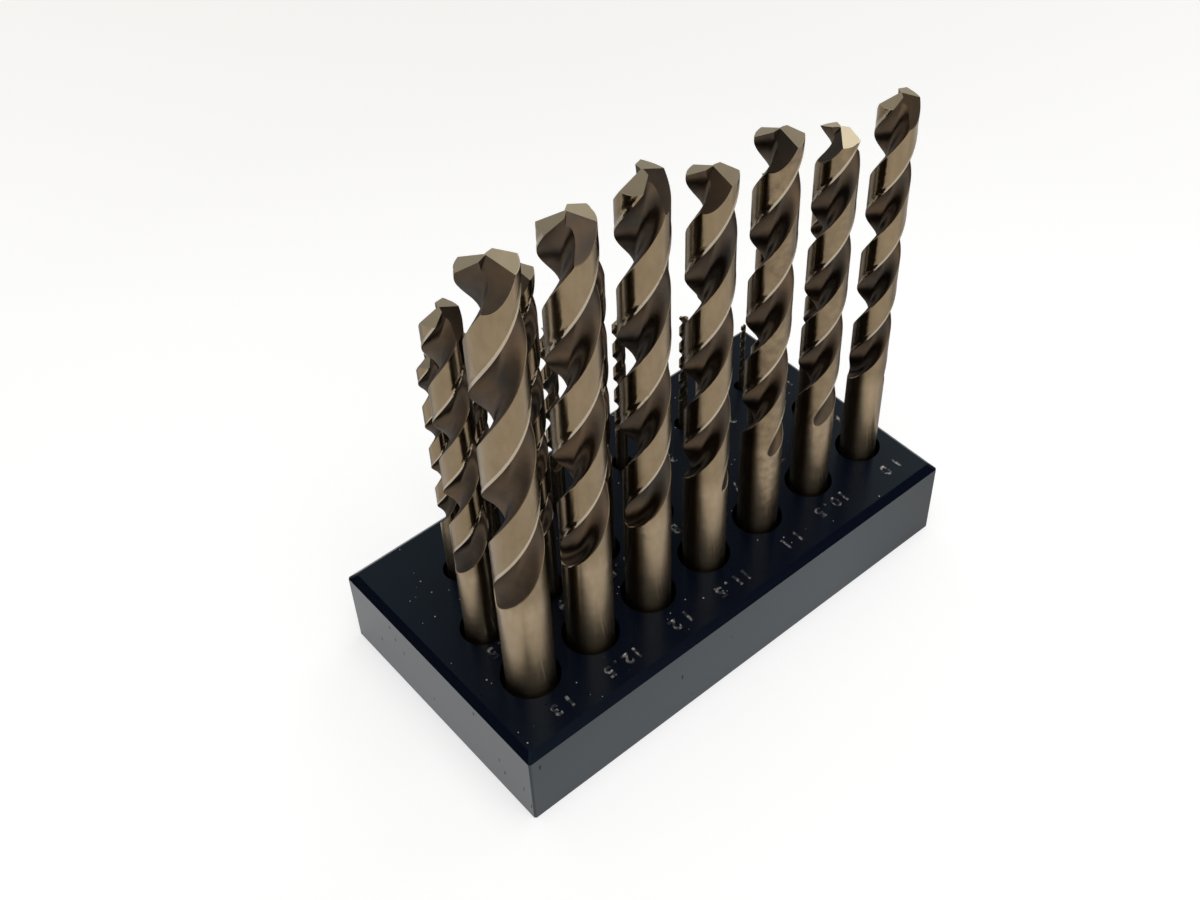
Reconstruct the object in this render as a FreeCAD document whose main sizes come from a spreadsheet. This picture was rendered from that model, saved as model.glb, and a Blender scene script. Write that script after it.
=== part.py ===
import FreeCAD, Part
import math
import os
import Sketcher
from FreeCAD import Placement, Rotation, Vector

# A drill stand: one chamfered block with blind holes, and a set of twist drills standing point up
# in them.  Millimetres, +Z up, origin at the middle of the block's underside, the largest drills
# along the +Y edge and running down in size towards -X.

STAND_SIZES = {
    "block_length": 146,
    "block_width": 78,
    "block_height": 26,
    "top_chamfer": 2,  # along the four top edges
    "corner_break": 0.5,  # along the four upright edges and the mitres above them
    "hole_depth": 16,
    "hole_clearance": 1.3,  # between a drill and the wall of its hole, all round
    "end_margin": 16.5,  # +X end of the block to the first column of the two large rows
    "column_pitch": 19.7,
    "rear_margin": 20,  # +Y edge of the block to the rear row
    "row_pitch": 19.7,
    "front_end_margin": 23.5,  # +X end of the block to the first hole of the front row
    "front_pitch": 11.5,
}

DRILL_SIZES = {
    "helix_angle": 33.4,  # degrees, of the land's edge against the drill's axis
    "land_angle": 83,  # degrees of the circle that one land takes up
    "margin_angle": 6.5,  # degrees of the circle that the raised margin along a land takes up
    "margin_ramp_angle": 2.5,  # degrees in which the margin rises from the rest of the land
    "body_clearance_ratio": 0.008,  # height of the margin for each millimetre of diameter
    "web_ratio": 0.28,  # web thickness for each millimetre of diameter
    "runout_ratio": 1.15,  # length of the flute's run-out for each millimetre of diameter
    "shank_chamfer_ratio": 0.04,  # chamfer of the shank's end for each millimetre of diameter
    "point_angle": 135,
    "lip_offset_ratio": 0.145,  # from the axis to the line of a lip, the same way
    "lip_relief": 11.5,  # degrees that the point falls away behind each lip
    "facet_angle": 35,  # degrees across the drill from a lip to where the notch cuts its facet off
    "notch_fall": 56,  # degrees that a notch's floor falls, at right angles to the lip
    "notch_wall_angle": 47,  # degrees across the drill between a notch's wall and the lips
    "chisel_ratio": 0.015,  # from the axis to a notch's corner for each millimetre of diameter
}

# The rows from rear to front.  Each drill: its diameter, its overall length in the jobber series,
# the length of its flutes with their run-out, and the angle in degrees from the block's +X to the
# drill's own +X, along its lips.
REAR_ROW = (
    (13.0, 151, 105, 148),
    (12.5, 151, 105, 173),
    (12.0, 151, 105, 34),
    (11.5, 142, 98, 130),
    (11.0, 142, 98, 128),
    (10.5, 133, 91, 87),
    (10.0, 133, 91, 8),
)
MIDDLE_ROW = (
    (9.5, 125, 85, 28),
    (9.0, 125, 85, 140),
    (8.5, 117, 79, 62),
    (8.0, 117, 79, 101),
    (7.5, 109, 72, 17),
    (7.0, 109, 72, 85),
    (6.5, 101, 66, 150),
)
FRONT_ROW = (
    (6.0, 93, 60, 48),
    (5.5, 93, 60, 120),
    (5.0, 86, 54, 5),
    (4.5, 80, 49, 73),
    (4.0, 75, 45, 166),
    (3.5, 70, 41, 31),
    (3.0, 61, 34, 97),
    (2.5, 57, 31, 132),
    (2.0, 49, 25, 58),
    (1.5, 40, 19, 12),
    (1.0, 34, 12.5, 84),
)
ROWS = (REAR_ROW, MIDDLE_ROW, FRONT_ROW)

RUNOUT_STATIONS = (0, 0.04, 0.1, 0.2, 0.35, 0.55, 0.8)  # shares of the run-out where it is drawn
SECTIONS_PER_TURN = 8  # of the full flute
CLOSED_MOUTH = 0.15  # a flute's width where its depth is nothing, as a share of its full width
VOLUME_TOLERANCE = 0.01  # share by which the holes' volume may differ from what is expected

doc = FreeCAD.newDocument("DrillStand")
sheet = doc.addObject("Spreadsheet::Sheet", "sizes")


def put_size(row, name, value):
    """Write one named size on a row of the sheet."""
    sheet.set("A%d" % row, name)
    sheet.set("B%d" % row, str(value))
    sheet.setAlias("B%d" % row, name)


def size(name):
    """The value of a named size, for the shapes made by functions."""
    return float(sheet.get(name))


def tag_of(diameter):
    """13.0 gives 13_0, the ending of every name that belongs to that drill."""
    return ("%04.1f" % diameter).replace(".", "_")


def fill_sheet():
    """Put every driving size on the sheet."""
    named = list(STAND_SIZES.items()) + list(DRILL_SIZES.items())
    for row in ROWS:
        for diameter, overall, flute, turn in row:
            tag = tag_of(diameter)
            named.append(("diameter_" + tag, diameter))
            named.append(("overall_" + tag, overall))
            named.append(("flute_" + tag, flute))
            named.append(("turn_" + tag, turn))
    for index, (name, value) in enumerate(named):
        put_size(index + 1, name, value)
    doc.recompute()


def hole_place(row_index, column):
    """Expressions for the X and Y of a hole's axis."""
    if row_index < 2:
        x = "sizes.block_length / 2 - sizes.end_margin - %d * sizes.column_pitch" % column
    else:
        x = "sizes.block_length / 2 - sizes.front_end_margin - %d * sizes.front_pitch" % column
    y = "sizes.block_width / 2 - sizes.rear_margin - %d * sizes.row_pitch" % row_index
    return x, y


def every_drill():
    """The tag and the place expressions of each drill."""
    for row_index, row in enumerate(ROWS):
        for column, drill in enumerate(row):
            x, y = hole_place(row_index, column)
            yield tag_of(drill[0]), x, y


def origin_plane(body, role):
    """One of a body's own origin planes."""
    for feature in body.Origin.OriginFeatures:
        if feature.Role == role:
            return feature
    raise LookupError(role)


def add_sketch(body, name, role):
    """A sketch on one of the body's origin planes."""
    sketch = body.newObject("Sketcher::SketchObject", name)
    sketch.AttachmentSupport = [(origin_plane(body, role), "")]
    sketch.MapMode = "FlatFace"
    return sketch


def drive(sketch, constraint, name, expression):
    """Add a named constraint that follows an expression."""
    index = sketch.addConstraint(constraint)
    sketch.renameConstraint(index, name)
    sketch.setExpression("Constraints." + name, expression)


def edges_where(shape, wanted):
    """Names of the edges for which wanted(edge) holds."""
    return ["Edge%d" % (i + 1) for i, edge in enumerate(shape.Edges) if wanted(edge)]


def make_block():
    """The block: a pad, broken corners, chamfered top edges and one pocket of blind holes."""
    body = doc.addObject("PartDesign::Body", "stand_block")
    outline = add_sketch(body, "block_outline", "XY_Plane")
    half_length = size("block_length") / 2
    half_width = size("block_width") / 2
    rectangle = (
        Vector(-half_length, -half_width, 0),
        Vector(half_length, -half_width, 0),
        Vector(half_length, half_width, 0),
        Vector(-half_length, half_width, 0),
    )
    for i in range(4):
        outline.addGeometry(Part.LineSegment(rectangle[i], rectangle[(i + 1) % 4]))
    for i in range(4):
        outline.addConstraint(Sketcher.Constraint("Coincident", i, 2, (i + 1) % 4, 1))
    for i in (0, 2):
        outline.addConstraint(Sketcher.Constraint("Horizontal", i))
        outline.addConstraint(Sketcher.Constraint("Vertical", i + 1))
    outline.addConstraint(Sketcher.Constraint("Symmetric", 0, 1, 2, 1, -1, 1))
    drive(outline, Sketcher.Constraint("DistanceX", 0, 1, 0, 2, 2 * half_length),
          "length", "sizes.block_length")
    drive(outline, Sketcher.Constraint("DistanceY", 1, 1, 1, 2, 2 * half_width),
          "width", "sizes.block_width")

    pad = body.newObject("PartDesign::Pad", "block_pad")
    pad.Profile = outline
    pad.setExpression("Length", "sizes.block_height")
    doc.recompute()

    def at_top(edge):
        return edge.BoundBox.ZMin > 0.5 * size("block_height")

    top_edges = body.newObject("PartDesign::Chamfer", "block_top_edges")
    top_edges.Base = (pad, edges_where(pad.Shape, at_top))
    top_edges.setExpression("Size", "sizes.top_chamfer")
    doc.recompute()

    def at_corner(edge):
        return edge.BoundBox.ZLength > 0.5 * size("top_chamfer")

    corners = body.newObject("PartDesign::Chamfer", "block_corners")
    corners.Base = (top_edges, edges_where(top_edges.Shape, at_corner))
    corners.setExpression("Size", "sizes.corner_break")
    doc.recompute()

    holes = add_sketch(body, "block_hole_plan", "XY_Plane")
    holes.setExpression("AttachmentOffset.Base.z", "sizes.block_height")
    for index, (tag, x, y) in enumerate(every_drill()):
        radius = size("diameter_" + tag) / 2 + size("hole_clearance")
        holes.addGeometry(Part.Circle(Vector(1 + index, 1, 0), Vector(0, 0, 1), radius))
        drive(holes, Sketcher.Constraint("Radius", index, radius), "radius_" + tag,
              "sizes.diameter_%s / 2 + sizes.hole_clearance" % tag)
        drive(holes, Sketcher.Constraint("DistanceX", -1, 1, index, 3, 1 + index), "x_" + tag, x)
        drive(holes, Sketcher.Constraint("DistanceY", -1, 1, index, 3, 1), "y_" + tag, y)
    pocket = body.newObject("PartDesign::Pocket", "block_holes")
    pocket.Profile = holes
    pocket.setExpression("Length", "sizes.hole_depth")
    doc.recompute()
    expected = sum(math.pi * (size("diameter_" + tag) / 2 + size("hole_clearance")) ** 2
                   for tag, x, y in every_drill()) * size("hole_depth")
    removed = corners.Shape.Volume - pocket.Shape.Volume
    if abs(removed - expected) > VOLUME_TOLERANCE * expected:
        raise RuntimeError("the holes removed %.0f mm3, not %.0f" % (removed, expected))
    return body


def helix_lead(radius):
    """Height in which a flute goes once round the drill."""
    return 2 * math.pi * radius / math.tan(math.radians(size("helix_angle")))


def lip_fall():
    """How far the point falls for each millimetre out along a lip."""
    return 1 / math.tan(math.radians(size("point_angle") / 2))


def relief_fall():
    """How far the point falls for each millimetre back from a lip."""
    return math.tan(math.radians(size("lip_relief")))


def land_share():
    """Radius of a land behind its margin, as a share of the drill's."""
    return 1 - 2 * size("body_clearance_ratio")


def flute_outline():
    """One flute across the drill, from the leading corner round the web to the next heel.

    Each point is its distance from the axis as a share of the radius, and its angle in degrees
    ahead of the leading corner.  The first five lie on one straight lip of the ground point,
    each turned back by as much as the helix turns between its height and the corner's.
    """
    offset = 2 * size("lip_offset_ratio")
    corner = math.sqrt(1 - offset ** 2)
    turn_per_fall = math.degrees(math.tan(math.radians(size("helix_angle"))))
    points = []
    for along in (corner, 0.8, 0.6, 0.42, 0.28):
        ahead = math.degrees(math.atan2(offset, along) - math.asin(offset))
        turned_back = turn_per_fall * lip_fall() * (corner - along)
        points.append((math.hypot(along, offset), ahead - turned_back))
    web = size("web_ratio")
    heel = 180 - size("land_angle")
    points += [(1.06 * web, 0.4 * heel), (1.02 * web, 0.58 * heel), (1.18 * web, 0.74 * heel)]
    points += [(0.42, 0.84 * heel), (0.55, 0.895 * heel), (0.7, 0.92 * heel)]
    points += [(0.84, 0.945 * heel), (0.93, 0.975 * heel), (land_share(), heel)]
    return points


def land_outline():
    """One land across the drill, from its heel to its leading corner.

    Each point is its distance from the axis as a share of the radius, and its place as a share of
    the land's angle.  The last stretch rises to the margin.
    """
    margin_start = 1 - size("margin_angle") / size("land_angle")
    ramp = size("margin_ramp_angle") / size("land_angle")
    low = land_share()
    points = [(low, place / 8 * (margin_start - ramp)) for place in range(9)]
    points += [(low + 0.5 * (1 - low), margin_start - 0.5 * ramp), (1.0, margin_start)]
    points += [(1.0, margin_start + place / 3 * (1 - margin_start)) for place in (1, 2, 3)]
    return points


def cross_section(radius, height, leading, depth):
    """The drill's outline at a height: two flutes and two lands, as one closed wire.

    leading is the angle in degrees of the first land's leading corner.  depth runs from 1, the
    full flute, to 0, where the flute has run out into the plain shank.  A flute narrows with the
    square root of its depth, as where a round grinding wheel leaves a bar.
    """
    flute = flute_outline()
    heel = flute[-1][1]
    width = max(math.sqrt(depth), CLOSED_MOUTH)
    land_start = heel / 2 * (1 + width)
    land_angle = 180 - heel * width

    def on_drill(share, ahead):
        angle = math.radians(leading + ahead)
        reach = radius * (1 - (1 - share) * depth)
        return Vector(reach * math.cos(angle), reach * math.sin(angle), height)

    def curve(points, steps):
        spline = Part.BSplineCurve()
        spline.interpolate(Points=points, Parameters=steps)
        return spline.toShape()

    edges = []
    for side in (0, 180):
        points = []
        steps = [i / (len(flute) - 1) for i in range(len(flute))]
        for step, (share, ahead) in zip(steps, flute):
            even = depth * ahead + (1 - depth) * heel * step
            points.append(on_drill(share, side + heel / 2 + (even - heel / 2) * width))
        edges.append(curve(points, steps))
        land = land_outline()
        points = [on_drill(share, side + land_start + land_angle * place) for share, place in land]
        edges.append(curve(points, [place for share, place in land]))
    return Part.Wire(edges)


def twist_drill_blank(tag):
    """Shank, run-out and fluted length of one drill, from its flat shank end to a square top."""
    radius = size("diameter_" + tag) / 2
    overall = size("overall_" + tag)
    flute_start = overall - size("flute_" + tag)
    run_out = size("runout_ratio") * 2 * radius
    shank_chamfer = size("shank_chamfer_ratio") * 2 * radius
    top = overall + radius / 4
    lead = helix_lead(radius)
    offset = 2 * size("lip_offset_ratio")
    corner_fall = lip_fall() * math.sqrt(1 - offset ** 2) - relief_fall() * offset
    leading_at_tip = math.degrees(math.asin(offset)) + 360 * corner_fall * radius / lead

    def section(height, depth):
        leading = leading_at_tip + 360 * (height - overall) / lead
        return cross_section(radius, height, leading, depth)

    sections = []
    for climb in RUNOUT_STATIONS:
        height = flute_start + climb * run_out
        sections.append(section(height, 1 - (1 - climb) ** 2))
    full_start = flute_start + run_out
    count = math.ceil((top - full_start) / lead * SECTIONS_PER_TURN)
    for i in range(count + 1):
        sections.append(section(full_start + (top - full_start) * i / count, 1))
    fluted = Part.makeLoft(sections, True, False)

    mouth = sections[0]
    shank_top = mouth.translated(Vector(0, 0, shank_chamfer - flute_start))
    shank = shank_top.extrude(Vector(0, 0, flute_start - shank_chamfer))
    shrink = 1 - shank_chamfer / radius
    flat = mouth.translated(Vector(0, 0, -flute_start))
    flat = flat.scaled(shrink, Vector(0, 0, 0))
    end = Part.makeLoft([flat, shank_top], False, True)

    def is_inner_cap(face):
        box = face.BoundBox
        return box.ZLength < 1e-6 and abs(box.ZMin - flute_start) < 1e-6

    faces = [face for face in fluted.Faces if not is_inner_cap(face)]
    faces += shank.Faces + end.Faces + [Part.Face(flat)]
    shell = Part.makeShell(faces)
    shell.sewShape()
    solid = Part.makeSolid(Part.Shell(shell.Faces))
    if solid.Volume < 0:
        solid.reverse()
    return solid


def notch_frame():
    """How a notch lies in the drill whose lips run along X: its rotation and half its angle.

    The floor contains the line that ends the lip's facet, and the wall is upright.  The rotation
    takes Z along the corner between them and -Y to the middle of the opening.
    """
    facet = math.radians(size("facet_angle"))
    wall = math.radians(size("notch_wall_angle"))
    across = math.tan(math.radians(size("notch_fall")))
    along = lip_fall() - (across - relief_fall()) * math.tan(facet)
    floor_normal = Vector(along, -across, 1).normalize()
    wall_normal = Vector(math.sin(wall), -math.cos(wall), 0)
    corner = floor_normal.cross(wall_normal).normalize()
    opening = (floor_normal + wall_normal).normalize()
    half_angle = 90 - math.degrees(floor_normal.getAngle(wall_normal)) / 2
    return Rotation(Vector(), -opening, corner, "ZYX"), half_angle


def add_prism(name, reach, half_width, height):
    """A prism whose ridge lies along the drill's Y at the height, and whose sides fall from it."""
    prism = doc.addObject("Part::Wedge", name)
    prism.Placement = Placement(Vector(0, 0, 0), Rotation(Vector(1, 0, 0), 90))
    prism.setExpression("Placement.Base.z", height)
    prism.setExpression("Ymin", "-" + reach)
    prism.setExpression("Ymax", "0")
    prism.setExpression("Xmin", "-" + half_width)
    prism.setExpression("Xmax", half_width)
    prism.setExpression("X2min", "0")
    prism.setExpression("X2max", "0")
    for end, sign in (("min", "-"), ("max", "")):
        prism.setExpression("Z" + end, sign + reach)
        prism.setExpression("Z2" + end, sign + reach)
    return prism


def make_drill(tag, x, y):
    """One twist drill: a fluted blank, its point ground to a gable, and two notches in the gable."""
    blank = doc.addObject("Part::Feature", "blank_" + tag)
    blank.Shape = twist_drill_blank(tag)

    overall = "sizes.overall_" + tag
    slope = "sqrt(tan(90 - sizes.point_angle / 2) ^ 2 + tan(sizes.lip_relief) ^ 2)"
    gable = add_prism("gable_" + tag, overall, "%s / %s" % (overall, slope), overall)
    ridge = math.degrees(math.atan(relief_fall() / lip_fall()))
    gable.Placement.Rotation = Rotation(Vector(0, 0, 1), -ridge) * gable.Placement.Rotation
    pointed = doc.addObject("Part::Common", "pointed_" + tag)
    pointed.Base = blank
    pointed.Tool = gable

    reach = "2 * sizes.diameter_" + tag
    rotation, half_angle = notch_frame()
    half_width = "%s * %.6f" % (reach, math.tan(math.radians(half_angle)))
    wall = math.radians(size("notch_wall_angle"))
    notches = []
    for number, side in enumerate((0, 180)):
        notch = add_prism("notch_%s_%d" % (tag, number + 1), reach, half_width, overall)
        about = Rotation(Vector(0, 0, 1), side)
        notch.Placement.Rotation = about * rotation
        away = about.multVec(Vector(math.sin(wall), -math.cos(wall), 0))
        shift = "sizes.chisel_ratio * sizes.diameter_" + tag
        notch.setExpression("Placement.Base.x", "%.6f * %s" % (away.x, shift))
        notch.setExpression("Placement.Base.y", "%.6f * %s" % (away.y, shift))
        notches.append(notch)
    both = doc.addObject("Part::MultiFuse", "notches_" + tag)
    both.Shapes = notches

    drill = doc.addObject("Part::Cut", "drill_" + tag)
    drill.Base = pointed
    drill.Tool = both
    drill.Placement = Placement(Vector(0, 0, 0), Rotation(Vector(0, 0, 1), 1))
    drill.setExpression("Placement.Base.x", x)
    drill.setExpression("Placement.Base.y", y)
    drill.setExpression("Placement.Base.z", "sizes.block_height - sizes.hole_depth")
    drill.setExpression("Placement.Rotation.Angle", "sizes.turn_" + tag)
    return drill


def check_document(parts):
    """Stop if an object failed, or if a sub-part isn't one valid solid."""
    for item in doc.Objects:
        if "Invalid" in item.State or "Error" in item.State:
            raise RuntimeError("%s: %s" % (item.Name, item.State))
    for part in parts:
        shape = part.Shape
        if shape.isNull() or not shape.isValid() or len(shape.Solids) != 1:
            raise RuntimeError("%s is not one valid solid" % part.Label)


fill_sheet()
subparts = [make_block()]
for drill_tag, x_place, y_place in every_drill():
    subparts.append(make_drill(drill_tag, x_place, y_place))
for part in subparts:
    part.Label = part.Name
doc.recompute()
check_document(subparts)

os.makedirs("parts", exist_ok=True)
for part in subparts:
    part.Shape.exportStep("parts/%s.step" % part.Label)
    print("%-14s %10.1f mm3" % (part.Label, part.Shape.Volume))
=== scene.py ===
import bpy
import math
import numpy as np
from mathutils import Matrix, Vector


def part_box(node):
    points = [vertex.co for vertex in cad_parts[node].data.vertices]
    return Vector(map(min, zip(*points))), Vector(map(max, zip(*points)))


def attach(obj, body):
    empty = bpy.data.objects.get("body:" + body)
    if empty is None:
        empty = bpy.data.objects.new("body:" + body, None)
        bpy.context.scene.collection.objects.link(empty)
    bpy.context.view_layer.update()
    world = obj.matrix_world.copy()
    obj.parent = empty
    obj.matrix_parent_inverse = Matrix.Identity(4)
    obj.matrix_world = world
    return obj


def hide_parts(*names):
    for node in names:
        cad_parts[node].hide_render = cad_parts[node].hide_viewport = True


# A black drill stand and its set of bronze-tinted twist drills on a white floor.
# Metres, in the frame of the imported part. Colours are linear, red, green, blue and alpha.

# The camera: where it looks, from which side and how far, and its lens.
CAMERA_TARGET = Vector((0.007786, -0.010352, 0.050))
CAMERA_DISTANCE = 0.41697
CAMERA_AZIMUTH = math.radians(51.634)  # of the camera about its target, from +X towards +Y
CAMERA_ELEVATION = math.radians(46.386)
CAMERA_ROLL = math.radians(-2.661)
IMAGE_WIDTH = 1200
FOCAL_LENGTH_PIXELS = 1586.2
SENSOR_WIDTH = 36.0

# Where one surface of a drill ends and the next begins. Shares are of the drill's radius.
FLUTE_WITHIN = 0.9  # distance from the axis that only a flute is within
LAND_FROM = 0.96
LAND_BLEND = 0.004
MARGIN_EDGE = (0.989, 0.994)
MARGIN_STARTS = 0.5  # diameters above the end of the flutes
FACET_STEEPNESS = 0.85  # upward part of the normal on the ground point, which no flute reaches
FACET_BLEND = 0.02
SMALLEST_WITH_MARGIN = 0.004  # diameter under which a margin is too fine to see

# Colours of a drill. Each pair is the two ends between which its blotches vary.
LAND_COLOURS = ((0.30, 0.225, 0.14, 1), (0.205, 0.152, 0.091, 1))
SHANK_COLOURS = ((0.39, 0.30, 0.20, 1), (0.31, 0.235, 0.15, 1))
FLUTE_COLOURS = ((0.145, 0.098, 0.062, 1), (0.070, 0.059, 0.048, 1))
# Painted highlight: the margin is painted lighter than the lands, as its bright line.
MARGIN_HIGHLIGHT_COLOUR = (0.42, 0.36, 0.27, 1)
FACET_COLOUR = (0.46, 0.39, 0.27, 1)
STAIN_COLOUR = (0.085, 0.06, 0.04, 1)
MOTTLING_TINT = (0.88, 0.86, 0.82)
STAINED = {"drill_11_0": 0.5, "drill_10_5": 0.3}  # used drills, and how far their surface is stained

# Patterns in a drill's surface, as cells for each metre.
BLOTCH_SCALE = 90.0
MOTTLING_SCALE = 650.0
MOTTLING_STRETCH = (1.0, 1.0, 0.35)
STAIN_SCALE = 420.0
GRINDING_SCALE = (150.0, 150.0, 1500.0)

# Roughness of a drill, each added to those before it.
STEEL_ROUGHNESS = 0.20
GRINDING_ROUGHNESS = 0.08
FLUTE_ROUGHNESS = 0.13
HOLLOW_ROUGHNESS = 0.12  # in the flutes and notches, but not on the ground facets
STEEL_ANISOTROPY = 0.9
GRINDING_DEPTH = 0.00002

# The black block, the milling lines on its sides, its scuffs and its dust.
BLACK = (0.0015, 0.0030, 0.0105, 1)
BLACK_SPECULAR_LEVEL = 0.37
BLACK_TINT = (0.69, 0.94, 1.0, 1)
BLACK_ROUGHNESS = 0.19
LINE_SCALE = (14.0, 14.0, 2500.0)
LINE_ROUGHNESS = 0.10
LINE_DEPTH = 0.00003
SCUFF_STRETCH = (1.0, 1.0, 0.3)
SCUFF_SCALE = 300.0
SCUFF_SIZE = 0.1  # sizes of specks are shares of a cell
SCUFF_TINT = (0.1, 0.1, 0.1, 1)
SCUFF_ROUGHNESS = 0.25
DUST_SCALE = 500.0
DUST_SIZE = 0.12
DUST_COLOUR = (0.42, 0.42, 0.40, 1)
DUST_FACES_UP = (0.9, 0.95)  # upward part of the normal from which dust lies on a face

# The numbers stamped into the block, one stamp for each character.
DIGIT_SIZE = 0.0049
DIGIT_DEPTH = 0.00022
STAMP_PITCHES = {1: 0.0, 2: 0.0043, 3: 0.0033, 4: 0.0030}  # by how many characters a number has
GROOVE_COLOUR = (0.02, 0.022, 0.03, 1)
BARE_COLOUR = (0.62, 0.62, 0.60, 1)
BARE_SCALE = 700.0
BARE_SHARE = (0.5, 0.62)
GROOVE_ROUGHNESS = 0.3
REAR_ROW_FROM = 10.0  # smallest diameter of the rear row, in millimetres
MIDDLE_ROW_FROM = 6.5
LABEL_OFFSETS = (0.0127, 0.0082, 0.0078)  # from a hole's axis towards +Y: rear, middle, front row
# How far along X and Y some hand-set numbers stand from their usual place.
LABEL_SHIFTS = {
    "11.5": (0.0013, 0.0),
    "11": (-0.0009, -0.0004),
    "10.5": (0.0017, -0.0021),
    "10": (-0.0010, -0.0010),
}

# The floor. Its glow makes it white, and its colour takes the object's shadow.
FLOOR_SIZE = 12.0
FLOOR_DROP = 0.0001  # under the block
PAPER = (0.66, 0.66, 0.66, 1)
SHADED_PAPER_SEEN_TWICE = (0.2, 0.2, 0.2, 1)  # painted shade: the paper is darker in a reflection of a reflection, so the drills' sides between their neighbours go dark
PAPER_ROUGHNESS = 0.9
WHITE = (1.0, 1.0, 1.0, 1)
# Painted shade: the floor's white behind the block.
SHADED_WHITE = (0.70, 0.69, 0.645, 1)
GLOW = 0.565
DISTANT_GLOW = 0.41  # added far from the block
# Distances from the block's middle, where each change of the floor starts and where it is whole.
SHADE_BEHIND = (0.12, 0.45)  # painted shade: the white darkens, behind the block
DISTANT = (0.25, 1.4)  # the distant glow
# Painted shadow: reflections see no glow on the floor just behind the block, within a short way of
# it.
MIRROR_BEHIND = (0.04, -0.01)  # a mirrored glow, from just behind the middle to just before it
MIRROR_AROUND = (0.16, 0.30)  # a mirrored glow on all sides

# Soft bright regions of the room: azimuth, elevation, inner and outer angle, brightness.
ROOM = (
    (-165, 34, 7, 26, 1.15),
    (-68, 55, 8, 24, 0.65),
    (-104, 37, 6, 22, 0.65),
    (-132, 8, 15, 40, 0.30),
    (100, 80, 15, 35, 0.25),
    (75, -10, 25, 55, 1.0),
)
ROOM_DARK = 0.03
ROOM_COLOUR = (1.0, 0.985, 0.96, 1)

# The large soft light: azimuth, elevation, distance, size and power.
LAMP = (78, 76, 1.2, 0.95, 7.9)

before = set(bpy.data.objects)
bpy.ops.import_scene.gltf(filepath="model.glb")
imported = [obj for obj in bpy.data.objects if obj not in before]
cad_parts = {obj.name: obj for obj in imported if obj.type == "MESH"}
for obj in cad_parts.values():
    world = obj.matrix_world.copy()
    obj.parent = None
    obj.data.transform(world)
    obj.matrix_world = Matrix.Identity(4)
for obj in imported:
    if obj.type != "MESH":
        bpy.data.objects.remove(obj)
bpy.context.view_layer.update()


class Tree:
    """Adds nodes to a node tree. Most methods return the new node's output socket."""

    def __init__(self, tree):
        self.tree = tree

    def add(self, kind, *values, **settings):
        """A node with its first inputs set to values or linked to sockets."""
        made = self.tree.nodes.new(kind)
        for name, value in settings.items():
            setattr(made, name, value)
        for socket, value in zip(made.inputs, values):
            self.put(socket, value)
        return made

    def put(self, socket, value):
        """Link a socket to another one, or set its value."""
        if isinstance(value, bpy.types.NodeSocket):
            self.tree.links.new(value, socket)
        elif value is not None:
            socket.default_value = value

    def math(self, operation, a, b=None, c=None):
        return self.add("ShaderNodeMath", a, b, c, operation=operation).outputs[0]

    def dot(self, a, b):
        return self.add("ShaderNodeVectorMath", a, b, operation="DOT_PRODUCT").outputs["Value"]

    def scaled(self, vector, scale):
        return self.add("ShaderNodeVectorMath", vector, scale, operation="MULTIPLY").outputs[0]

    def split(self, vector):
        """A vector's X, Y and Z."""
        return self.add("ShaderNodeSeparateXYZ", vector).outputs

    def ramp(self, value, start, end):
        """0 at start, 1 at end, and even between them."""
        return self.add("ShaderNodeMapRange", value, start, end).outputs[0]

    def mix(self, share, a, b):
        """Colour a where share is 0, colour b where it is 1."""
        made = self.add("ShaderNodeMix", data_type="RGBA")
        self.put(made.inputs["Factor"], share)
        self.put(made.inputs[6], a)
        self.put(made.inputs[7], b)
        return made.outputs[2]

    def noise(self, vector, scale, detail=2.0):
        made = self.add("ShaderNodeTexNoise")
        self.put(made.inputs["Vector"], vector)
        made.inputs["Scale"].default_value = scale
        made.inputs["Detail"].default_value = detail
        return made.outputs["Fac"]

    def specks(self, vector, scale, size):
        """1 in small round specks, one at the middle of some cells of a random pattern."""
        made = self.add("ShaderNodeTexVoronoi")
        self.put(made.inputs["Vector"], vector)
        made.inputs["Scale"].default_value = scale
        chosen = self.add("ShaderNodeSeparateColor", made.outputs["Color"]).outputs[0]
        reach = self.math("MULTIPLY", self.ramp(chosen, 0.5, 1.0), size)
        return self.math("LESS_THAN", made.outputs["Distance"], reach)

    def bump(self, height, strength, distance):
        made = self.add("ShaderNodeBump")
        made.inputs["Strength"].default_value = strength
        made.inputs["Distance"].default_value = distance
        self.put(made.inputs["Height"], height)
        return made.outputs["Normal"]


def new_material(name):
    """A material with only a Principled shader: the material, its Tree and the shader."""
    material = bpy.data.materials.new(name)
    material.use_nodes = True
    tree = material.node_tree
    return material, Tree(tree), tree.nodes["Principled BSDF"]


def dress(obj, material):
    """Give an object one material all over."""
    obj.data.materials.clear()
    obj.data.materials.append(material)


def link(obj):
    """Put a new object into the scene."""
    bpy.context.scene.collection.objects.link(obj)


def toward(azimuth, elevation):
    """Unit vector in a direction given by two angles."""
    return Vector((
        math.cos(azimuth) * math.cos(elevation),
        math.sin(azimuth) * math.cos(elevation),
        math.sin(elevation),
    ))


def flute_end(obj, axis, radius):
    """Height of the lowest point of a drill's flutes."""
    points = np.empty(3 * len(obj.data.vertices))
    obj.data.vertices.foreach_get("co", points)
    points = points.reshape(-1, 3)
    share = np.hypot(points[:, 0] - axis[0], points[:, 1] - axis[1]) / radius
    above_shank = points[:, 2] > points[:, 2].min() + 2 * radius
    return float(points[above_shank & (share < FLUTE_WITHIN), 2].min())


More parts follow.
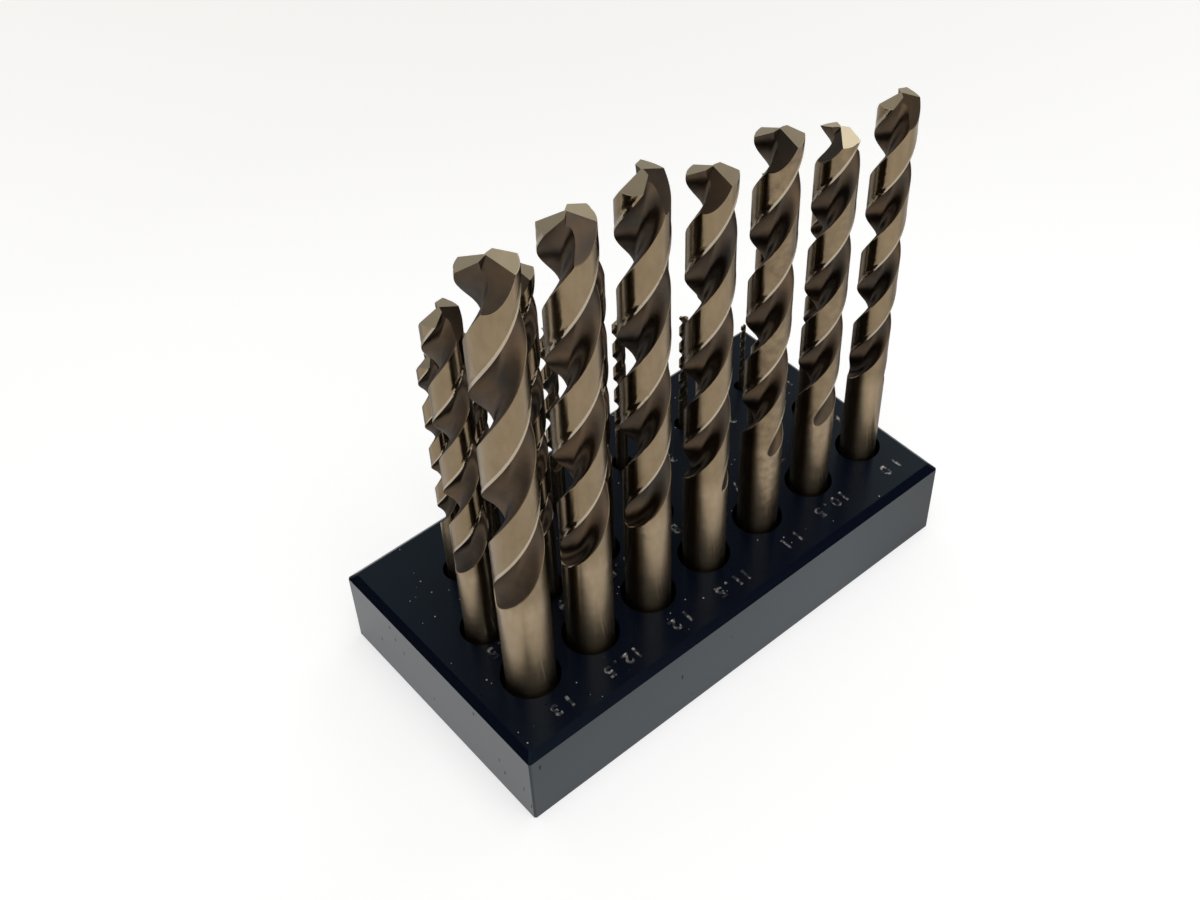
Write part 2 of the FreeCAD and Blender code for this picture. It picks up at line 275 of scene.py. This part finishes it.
def drill_material(name, node):
    """Ground high-speed steel, with its own lands, margins, flutes, point and shank."""
    low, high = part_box(node)
    radius = (high.x - low.x) / 2
    axis = ((high.x + low.x) / 2, (high.y + low.y) / 2)
    flutes_end = flute_end(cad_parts[node], axis, radius)
    material, tree, shader = new_material(name)

    # Which surface a point is on.
    place = tree.add("ShaderNodeTexCoord").outputs
    parts = tree.split(place["Object"])
    across_x = tree.math("SUBTRACT", parts["X"], axis[0])
    across_y = tree.math("SUBTRACT", parts["Y"], axis[1])
    squares = tree.math("MULTIPLY_ADD", across_x, across_x, tree.math("MULTIPLY", across_y, across_y))
    share = tree.math("DIVIDE", tree.math("SQRT", squares), radius)
    upward = tree.split(place["Normal"])["Z"]
    shank = tree.ramp(parts["Z"], flutes_end + radius, flutes_end)
    flute = tree.ramp(share, LAND_FROM + LAND_BLEND, LAND_FROM - LAND_BLEND)
    facet = tree.ramp(upward, FACET_STEEPNESS - FACET_BLEND, FACET_STEEPNESS + FACET_BLEND)

    # Colour, from the widest surface to the smallest.
    blotches = tree.noise(place["Object"], BLOTCH_SCALE, 4.0)
    land_colour = tree.mix(blotches, *LAND_COLOURS)
    shank_colour = tree.mix(blotches, *SHANK_COLOURS)
    flute_colour = tree.mix(tree.ramp(blotches, 0.35, 0.65), *FLUTE_COLOURS)
    colour = tree.mix(shank, land_colour, shank_colour)
    mottling = tree.noise(tree.scaled(place["Object"], MOTTLING_STRETCH), MOTTLING_SCALE, 3.0)
    colour = tree.mix(tree.ramp(mottling, 0.35, 0.75), colour, tree.scaled(colour, MOTTLING_TINT))
    if node in STAINED:
        stains = tree.ramp(tree.noise(place["Object"], STAIN_SCALE, 5.0), 0.38, 0.70)
        colour = tree.mix(tree.math("MULTIPLY", stains, STAINED[node]), colour, STAIN_COLOUR)
    colour = tree.mix(flute, colour, flute_colour)
    # Painted highlight: a lighter line along each margin.
    if 2 * radius > SMALLEST_WITH_MARGIN:
        margin_end = flutes_end + 2 * radius * MARGIN_STARTS
        on_flutes = tree.ramp(parts["Z"], margin_end, margin_end + radius)
        at_edge = tree.ramp(share, *MARGIN_EDGE)
        colour = tree.mix(tree.math("MULTIPLY", on_flutes, at_edge), colour, MARGIN_HIGHLIGHT_COLOUR)
    colour = tree.mix(facet, colour, FACET_COLOUR)
    tree.put(shader.inputs["Base Color"], colour)
    shader.inputs["Metallic"].default_value = 1.0

    # Fine rings that grinding leaves around the drill.
    grinding = tree.noise(tree.scaled(place["Object"], GRINDING_SCALE), 1.0)
    hollow = tree.math("MAXIMUM", tree.math("SUBTRACT", flute, facet), 0.0)
    roughness = tree.math("MULTIPLY_ADD", grinding, GRINDING_ROUGHNESS, STEEL_ROUGHNESS)
    roughness = tree.math("MULTIPLY_ADD", flute, FLUTE_ROUGHNESS, roughness)
    roughness = tree.math("MULTIPLY_ADD", hollow, HOLLOW_ROUGHNESS, roughness)
    tree.put(shader.inputs["Roughness"], roughness)
    shader.inputs["Anisotropic"].default_value = STEEL_ANISOTROPY
    tree.put(shader.inputs["Tangent"], tree.add("ShaderNodeCombineXYZ", 0.0, 0.0, 1.0).outputs[0])
    tree.put(shader.inputs["Normal"], tree.bump(grinding, 0.04, GRINDING_DEPTH))
    return material


def block_material():
    """Black anodised metal with fine milling lines along its sides and dust on its top."""
    material, tree, shader = new_material("black anodised")
    place = tree.add("ShaderNodeTexCoord").outputs
    lines = tree.noise(tree.scaled(place["Object"], LINE_SCALE), 1.0, 4.0)
    scuffs = tree.specks(tree.scaled(place["Object"], SCUFF_STRETCH), SCUFF_SCALE, SCUFF_SIZE)
    roughness = tree.math("MULTIPLY_ADD", lines, LINE_ROUGHNESS, BLACK_ROUGHNESS)
    roughness = tree.math("MULTIPLY_ADD", scuffs, SCUFF_ROUGHNESS, roughness)
    tree.put(shader.inputs["Roughness"], roughness)
    on_top = tree.ramp(tree.split(place["Normal"])["Z"], *DUST_FACES_UP)
    dust = tree.math("MULTIPLY", tree.specks(place["Object"], DUST_SCALE, DUST_SIZE), on_top)
    tree.put(shader.inputs["Base Color"], tree.mix(dust, BLACK, DUST_COLOUR))
    shader.inputs["Specular IOR Level"].default_value = BLACK_SPECULAR_LEVEL
    tree.put(shader.inputs["Specular Tint"], tree.mix(scuffs, BLACK_TINT, SCUFF_TINT))
    tree.put(shader.inputs["Normal"], tree.bump(lines, 0.1, LINE_DEPTH))
    return material


def stamp_material():
    """The stamped grooves, where the black has cracked and lets some bare metal glint."""
    material, tree, shader = new_material("stamped groove")
    place = tree.add("ShaderNodeTexCoord").outputs
    bare = tree.ramp(tree.noise(place["Object"], BARE_SCALE), *BARE_SHARE)
    tree.put(shader.inputs["Base Color"], tree.mix(bare, GROOVE_COLOUR, BARE_COLOUR))
    tree.put(shader.inputs["Metallic"], bare)
    shader.inputs["Roughness"].default_value = GROOVE_ROUGHNESS
    return material


def label_offset(diameter):
    """How far a drill's number stands from its hole."""
    if diameter >= REAR_ROW_FROM:
        return LABEL_OFFSETS[0]
    if diameter >= MIDDLE_ROW_FROM:
        return LABEL_OFFSETS[1]
    return LABEL_OFFSETS[2]


def stamp(character, place):
    """One character as a closed tapered tool, widest at the height of its place."""
    words = bpy.data.curves.new("stamp", "FONT")
    words.body = character
    words.size = DIGIT_SIZE
    words.align_x = "CENTER"
    words.align_y = "CENTER"
    words.resolution_u = 3
    words.extrude = DIGIT_DEPTH / 4
    words.bevel_depth = DIGIT_DEPTH * 3 / 4
    words.bevel_resolution = 0
    obj = bpy.data.objects.new("stamp", words)
    obj.location = place
    link(obj)
    return obj


def stamps_of(node, top):
    """The stamps of one drill's number."""
    low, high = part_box(node)
    middle = (low + high) / 2
    diameter = round(2000 * (high.x - low.x)) / 2  # millimetres, to the nearest half
    number = "%g" % diameter
    shift_x, shift_y = LABEL_SHIFTS.get(number, (0.0, 0.0))
    y = middle.y + label_offset(diameter) + shift_y
    stamps = []
    for i, character in enumerate(number):
        along = (i - (len(number) - 1) / 2) * STAMP_PITCHES[len(number)]
        stamps.append(stamp(character, (middle.x + along + shift_x, y, top)))
    return stamps


def stamped_numbers(top):
    """One mesh of all the drills' plain size numbers, half sunk into the top of the block."""
    stamps = []
    for node in sorted(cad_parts):
        if node.startswith("drill_"):
            stamps.extend(stamps_of(node, top))
    bpy.ops.object.select_all(action="DESELECT")
    for piece in stamps:
        piece.select_set(True)
    bpy.context.view_layer.objects.active = stamps[0]
    bpy.ops.object.convert(target="MESH")
    bpy.ops.object.join()
    numbers = bpy.context.view_layer.objects.active
    dress(numbers, stamp_material())
    return numbers


def add_block():
    """The block with its numbers stamped in, in place of the plain one."""
    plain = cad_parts["stand_block"]
    block = bpy.data.objects.new("numbered_block", plain.data.copy())
    link(block)
    dress(block, block_material())
    numbers = stamped_numbers(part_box("stand_block")[1].z)
    cut = block.modifiers.new("numbers", "BOOLEAN")
    cut.object = numbers
    cut.operation = "DIFFERENCE"
    cut.solver = "EXACT"
    cut.material_mode = "TRANSFER"
    bpy.context.view_layer.objects.active = block
    bpy.ops.object.modifier_apply(modifier=cut.name)
    bpy.data.objects.remove(numbers)
    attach(block, "block")
    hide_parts("stand_block")


def add_camera():
    """The camera at its given place, with its roll about the line of sight."""
    back = toward(CAMERA_AZIMUTH, CAMERA_ELEVATION)
    level_right = Vector((0, 0, 1)).cross(back).normalized()
    level_up = back.cross(level_right)
    right = math.cos(CAMERA_ROLL) * level_right + math.sin(CAMERA_ROLL) * level_up
    up = back.cross(right)
    data = bpy.data.cameras.new("camera")
    data.sensor_width = SENSOR_WIDTH
    data.lens = FOCAL_LENGTH_PIXELS * SENSOR_WIDTH / IMAGE_WIDTH
    camera = bpy.data.objects.new("camera", data)
    turn = Matrix((right, up, back)).transposed().to_4x4()
    camera.matrix_world = Matrix.Translation(CAMERA_TARGET + CAMERA_DISTANCE * back) @ turn
    link(camera)
    bpy.context.scene.camera = camera


def floor_material():
    """White paper that glows for the camera and for what mirrors it once. Painted shade darkens it
    behind the block and in reflections of reflections, and a painted shadow takes away its mirrored
    glow just behind the block.
    """
    material, tree, shader = new_material("white paper")
    shader.inputs["Roughness"].default_value = PAPER_ROUGHNESS
    shader.inputs["Specular IOR Level"].default_value = 0.0
    rays = tree.add("ShaderNodeLightPath").outputs
    place = tree.add("ShaderNodeTexCoord").outputs["Object"]
    behind = tree.dot(place, tuple(-toward(CAMERA_AZIMUTH, 0.0)))
    far = tree.add("ShaderNodeVectorMath", place, operation="LENGTH").outputs["Value"]
    once = tree.math("LESS_THAN", rays["Glossy Depth"], 1.5)
    # Painted shade: the paper is darker where it is seen in a reflection of a reflection.
    tree.put(shader.inputs["Base Color"], tree.mix(once, SHADED_PAPER_SEEN_TWICE, PAPER))

    # Painted shadow: the mirrored glow is left out just behind the block.
    in_front = tree.ramp(behind, *MIRROR_BEHIND)
    outside_painted_shadow = tree.math("MAXIMUM", in_front, tree.ramp(far, *MIRROR_AROUND))
    mirrored = tree.math("MULTIPLY", tree.math("MULTIPLY", rays["Is Glossy Ray"], once), outside_painted_shadow)
    seen = tree.math("ADD", rays["Is Camera Ray"], mirrored)
    seen = tree.math("ADD", seen, rays["Is Transmission Ray"])
    glow = tree.add("ShaderNodeEmission")
    # Painted shade: the glow's white darkens behind the block.
    shaded_white_behind = tree.mix(tree.ramp(behind, *SHADE_BEHIND), WHITE, SHADED_WHITE)
    distant = tree.ramp(far, *DISTANT)
    tree.put(glow.inputs["Color"], tree.mix(distant, shaded_white_behind, WHITE))
    strength = tree.math("MULTIPLY_ADD", distant, DISTANT_GLOW, GLOW)
    tree.put(glow.inputs["Strength"], tree.math("MULTIPLY", seen, strength))
    both = tree.add("ShaderNodeAddShader", shader.outputs[0], glow.outputs[0])
    tree.put(tree.tree.nodes["Material Output"].inputs["Surface"], both.outputs[0])
    return material


def add_floor():
    """A wide white floor just under the block, with painted shade that makes it a little darker
    behind it.
    """
    bpy.ops.mesh.primitive_plane_add(size=FLOOR_SIZE, location=(0, 0, -FLOOR_DROP))
    floor = bpy.context.active_object
    floor.name = "floor"
    dress(floor, floor_material())


def add_lamp(name, azimuth, elevation, distance, size, power):
    """A square soft light that points at the block from the given side."""
    lamp = bpy.data.lights.new(name, "AREA")
    lamp.size = size
    lamp.energy = power
    obj = bpy.data.objects.new(name, lamp)
    back = toward(math.radians(azimuth), math.radians(elevation))
    obj.location = CAMERA_TARGET + distance * back
    obj.rotation_euler = back.to_track_quat("Z", "Y").to_euler()
    link(obj)


def light_the_room():
    """A dark room with soft bright regions, which the camera sees as white."""
    world = bpy.data.worlds.new("room")
    bpy.context.scene.world = world
    world.use_nodes = True
    tree = Tree(world.node_tree)
    background = world.node_tree.nodes["Background"]
    direction = tree.add("ShaderNodeTexCoord").outputs["Generated"]
    total = ROOM_DARK
    for azimuth, elevation, inner, outer, brightness in ROOM:
        centre = tuple(toward(math.radians(azimuth), math.radians(elevation)))
        near = tree.dot(direction, centre)
        inside = tree.ramp(near, math.cos(math.radians(outer)), math.cos(math.radians(inner)))
        total = tree.math("MULTIPLY_ADD", inside, brightness, total)
    seen = tree.add("ShaderNodeLightPath").outputs["Is Camera Ray"]
    tree.put(background.inputs["Strength"], tree.math("MAXIMUM", total, seen))
    background.inputs["Color"].default_value = ROOM_COLOUR


for node_name, node_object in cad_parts.items():
    if node_name.startswith("drill_"):
        dress(node_object, drill_material("steel of " + node_name, node_name))
add_block()
add_floor()
light_the_room()
add_lamp("soft light", *LAMP)
add_camera()

bpy.context.scene.view_settings.view_transform = "Standard"
